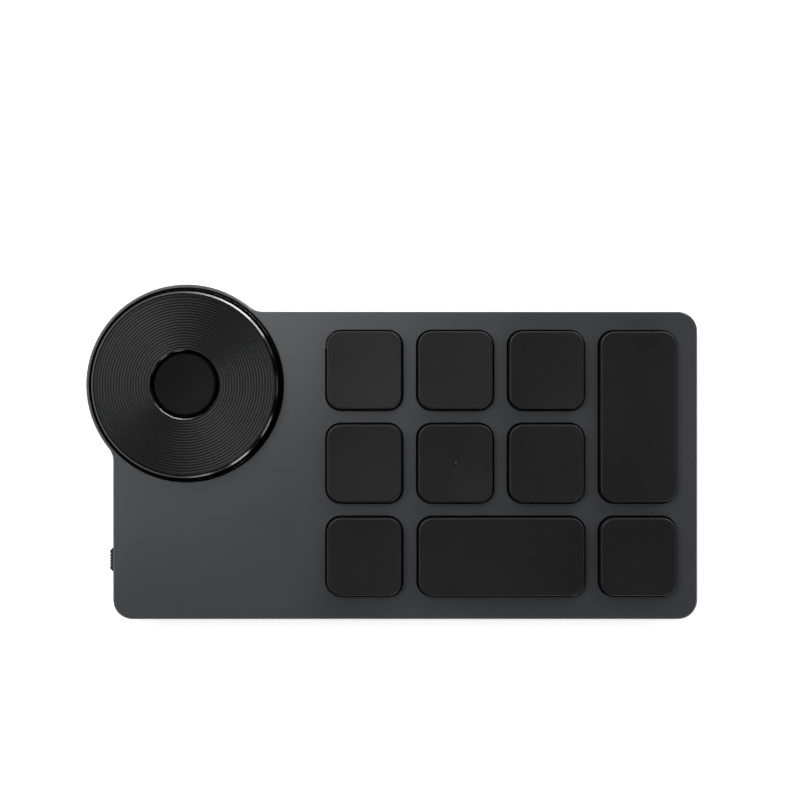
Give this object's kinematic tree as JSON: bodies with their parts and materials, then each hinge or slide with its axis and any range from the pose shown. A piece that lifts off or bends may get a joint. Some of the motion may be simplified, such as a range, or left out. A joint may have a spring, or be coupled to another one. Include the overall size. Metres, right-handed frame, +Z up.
{
  "type": "macro keypad with dial",
  "caption": "Flat desk keypad with a round lobe carrying a free-turning dial with a push button in its middle, flat black keys, a slide switch on the left edge and a USB-C socket.",
  "frame": {"origin": "middle of the overall outline at desk level, on the underside of the rubber feet", "axes": "+X along the long side towards the end away from the dial, +Y towards the rear edge (the top of the picture), +Z up out of the keys"},
  "size_m": [0.1269, 0.0695, 0.013],
  "materials": {
    "case_grey": "satin",
    "base_grey": "matte",
    "keycap_black": "satin",
    "dial_black": "turned, black anodised",
    "button_black": "satin",
    "slider_black": "satin",
    "pom_black": "matte",
    "pom_white": "matte",
    "silicone": "translucent matte",
    "foot_rubber": "matte",
    "steel": "plain",
    "screw_black": "black zinc",
    "ferrite": "matte",
    "component_black": "matte",
    "board_green": "solder mask",
    "pouch_foil": "foil",
    "foam": "foam",
    "lead_red": "insulation",
    "gold": "plated"
  },
  "bodies": {
    "base": {"battery": "pouch_foil", "battery_connector": "pom_white", "battery_leads": "lead_red", "battery_pad": "foam", "board_components": "component_black", "board_screws": "steel", "bottom_cover": "base_grey", "button_guide": "pom_white", "case_screws": "screw_black", "detent_spring": "steel", "detent_spring_screw": "steel", "dome_r1c1": "silicone", "dome_r1c2": "silicone", "dome_r1c3": "silicone", "dome_r2c1": "silicone", "dome_r2c2": "silicone", "dome_r2c3": "silicone", "dome_r3c1": "silicone", "dome_r3c4": "silicone", "dome_tall": "silicone", "dome_wide": "silicone", "hall_sensor": "component_black", "key_frame": "pom_black", "main_board": "board_green", "rubber_feet": "foot_rubber", "slide_switch": "component_black", "slide_switch_legs": "steel", "tact_cover": "steel", "tact_legs": "steel", "tact_switch": "component_black", "top_cover": "case_grey", "usb_c_contacts": "gold", "usb_c_shell": "steel", "usb_c_tongue": "component_black"},
    "dial": {"dial_knob": "dial_black", "dial_face": "dial_black", "detent_ring": "pom_white", "retaining_clip": "steel", "ring_magnet": "ferrite"},
    "dial_button": {"button_cap": "button_black", "switch_actuator": "pom_white"},
    "power_switch": {"power_slider": "slider_black"},
    "key_r1c1": {"keycap_r1c1": "keycap_black"},
    "key_r1c2": {"keycap_r1c2": "keycap_black"},
    "key_r1c3": {"keycap_r1c3": "keycap_black"},
    "key_r2c1": {"keycap_r2c1": "keycap_black"},
    "key_r2c2": {"keycap_r2c2": "keycap_black"},
    "key_r2c3": {"keycap_r2c3": "keycap_black"},
    "key_r3c1": {"keycap_r3c1": "keycap_black"},
    "key_r3c4": {"keycap_r3c4": "keycap_black"},
    "key_tall": {"keycap_tall": "keycap_black"},
    "key_wide": {"keycap_wide": "keycap_black"},
    "stabiliser_tall": {"stabiliser_tall": "steel"},
    "stabiliser_wide": {"stabiliser_wide": "steel"}
  },
  "joints": [
    {"name": "dial_turn", "type": "hinge", "parent": "base", "child": "dial", "pos_m": [-0.04263, 0.01392, 0.01], "axis": [0, 0, 1], "continuous": true},
    {"name": "dial_button_press", "type": "slide", "parent": "base", "child": "dial_button", "axis": [0, 0, -1], "range_m": [0, 0.0004], "stiffness_N_per_m": 3000, "springref_m": -0.0002},
    {"name": "power_switch_slide", "type": "slide", "parent": "base", "child": "power_switch", "axis": [0, 1, 0], "range_m": [0, 0.002]},
    {"name": "key_r1c1_press", "type": "slide", "parent": "base", "child": "key_r1c1", "axis": [0, 0, -1], "range_m": [0, 0.0013], "stiffness_N_per_m": 300, "springref_m": -0.0006, "deforming": ["dome_r1c1"]},
    {"name": "key_r1c2_press", "type": "slide", "parent": "base", "child": "key_r1c2", "axis": [0, 0, -1], "range_m": [0, 0.0013], "stiffness_N_per_m": 300, "springref_m": -0.0006, "deforming": ["dome_r1c2"]},
    {"name": "key_r1c3_press", "type": "slide", "parent": "base", "child": "key_r1c3", "axis": [0, 0, -1], "range_m": [0, 0.0013], "stiffness_N_per_m": 300, "springref_m": -0.0006, "deforming": ["dome_r1c3"]},
    {"name": "key_r2c1_press", "type": "slide", "parent": "base", "child": "key_r2c1", "axis": [0, 0, -1], "range_m": [0, 0.0013], "stiffness_N_per_m": 300, "springref_m": -0.0006, "deforming": ["dome_r2c1"]},
    {"name": "key_r2c2_press", "type": "slide", "parent": "base", "child": "key_r2c2", "axis": [0, 0, -1], "range_m": [0, 0.0013], "stiffness_N_per_m": 300, "springref_m": -0.0006, "deforming": ["dome_r2c2"]},
    {"name": "key_r2c3_press", "type": "slide", "parent": "base", "child": "key_r2c3", "axis": [0, 0, -1], "range_m": [0, 0.0013], "stiffness_N_per_m": 300, "springref_m": -0.0006, "deforming": ["dome_r2c3"]},
    {"name": "key_r3c1_press", "type": "slide", "parent": "base", "child": "key_r3c1", "axis": [0, 0, -1], "range_m": [0, 0.0013], "stiffness_N_per_m": 300, "springref_m": -0.0006, "deforming": ["dome_r3c1"]},
    {"name": "key_r3c4_press", "type": "slide", "parent": "base", "child": "key_r3c4", "axis": [0, 0, -1], "range_m": [0, 0.0013], "stiffness_N_per_m": 300, "springref_m": -0.0006, "deforming": ["dome_r3c4"]},
    {"name": "key_tall_press", "type": "slide", "parent": "base", "child": "key_tall", "axis": [0, 0, -1], "range_m": [0, 0.0013], "stiffness_N_per_m": 300, "springref_m": -0.0006, "deforming": ["dome_tall"]},
    {"name": "key_wide_press", "type": "slide", "parent": "base", "child": "key_wide", "axis": [0, 0, -1], "range_m": [0, 0.0013], "stiffness_N_per_m": 300, "springref_m": -0.0006, "deforming": ["dome_wide"]},
    {"name": "stabiliser_tall_swing", "type": "hinge", "parent": "base", "child": "stabiliser_tall", "pos_m": [0.04572, 0.00728, 0.0085], "axis": [0, 1, 0], "range_deg": [0, 14.6]},
    {"name": "stabiliser_wide_swing", "type": "hinge", "parent": "base", "child": "stabiliser_wide", "pos_m": [0.02265, -0.02682, 0.0085], "axis": [-1, 0, 0], "range_deg": [0, 14.6]}
  ],
  "couplings": [
    {"joint": "stabiliser_tall_swing", "follows": "key_tall_press", "rad_per_m": 193.79},
    {"joint": "stabiliser_wide_swing", "follows": "key_wide_press", "rad_per_m": 193.79}
  ]
}
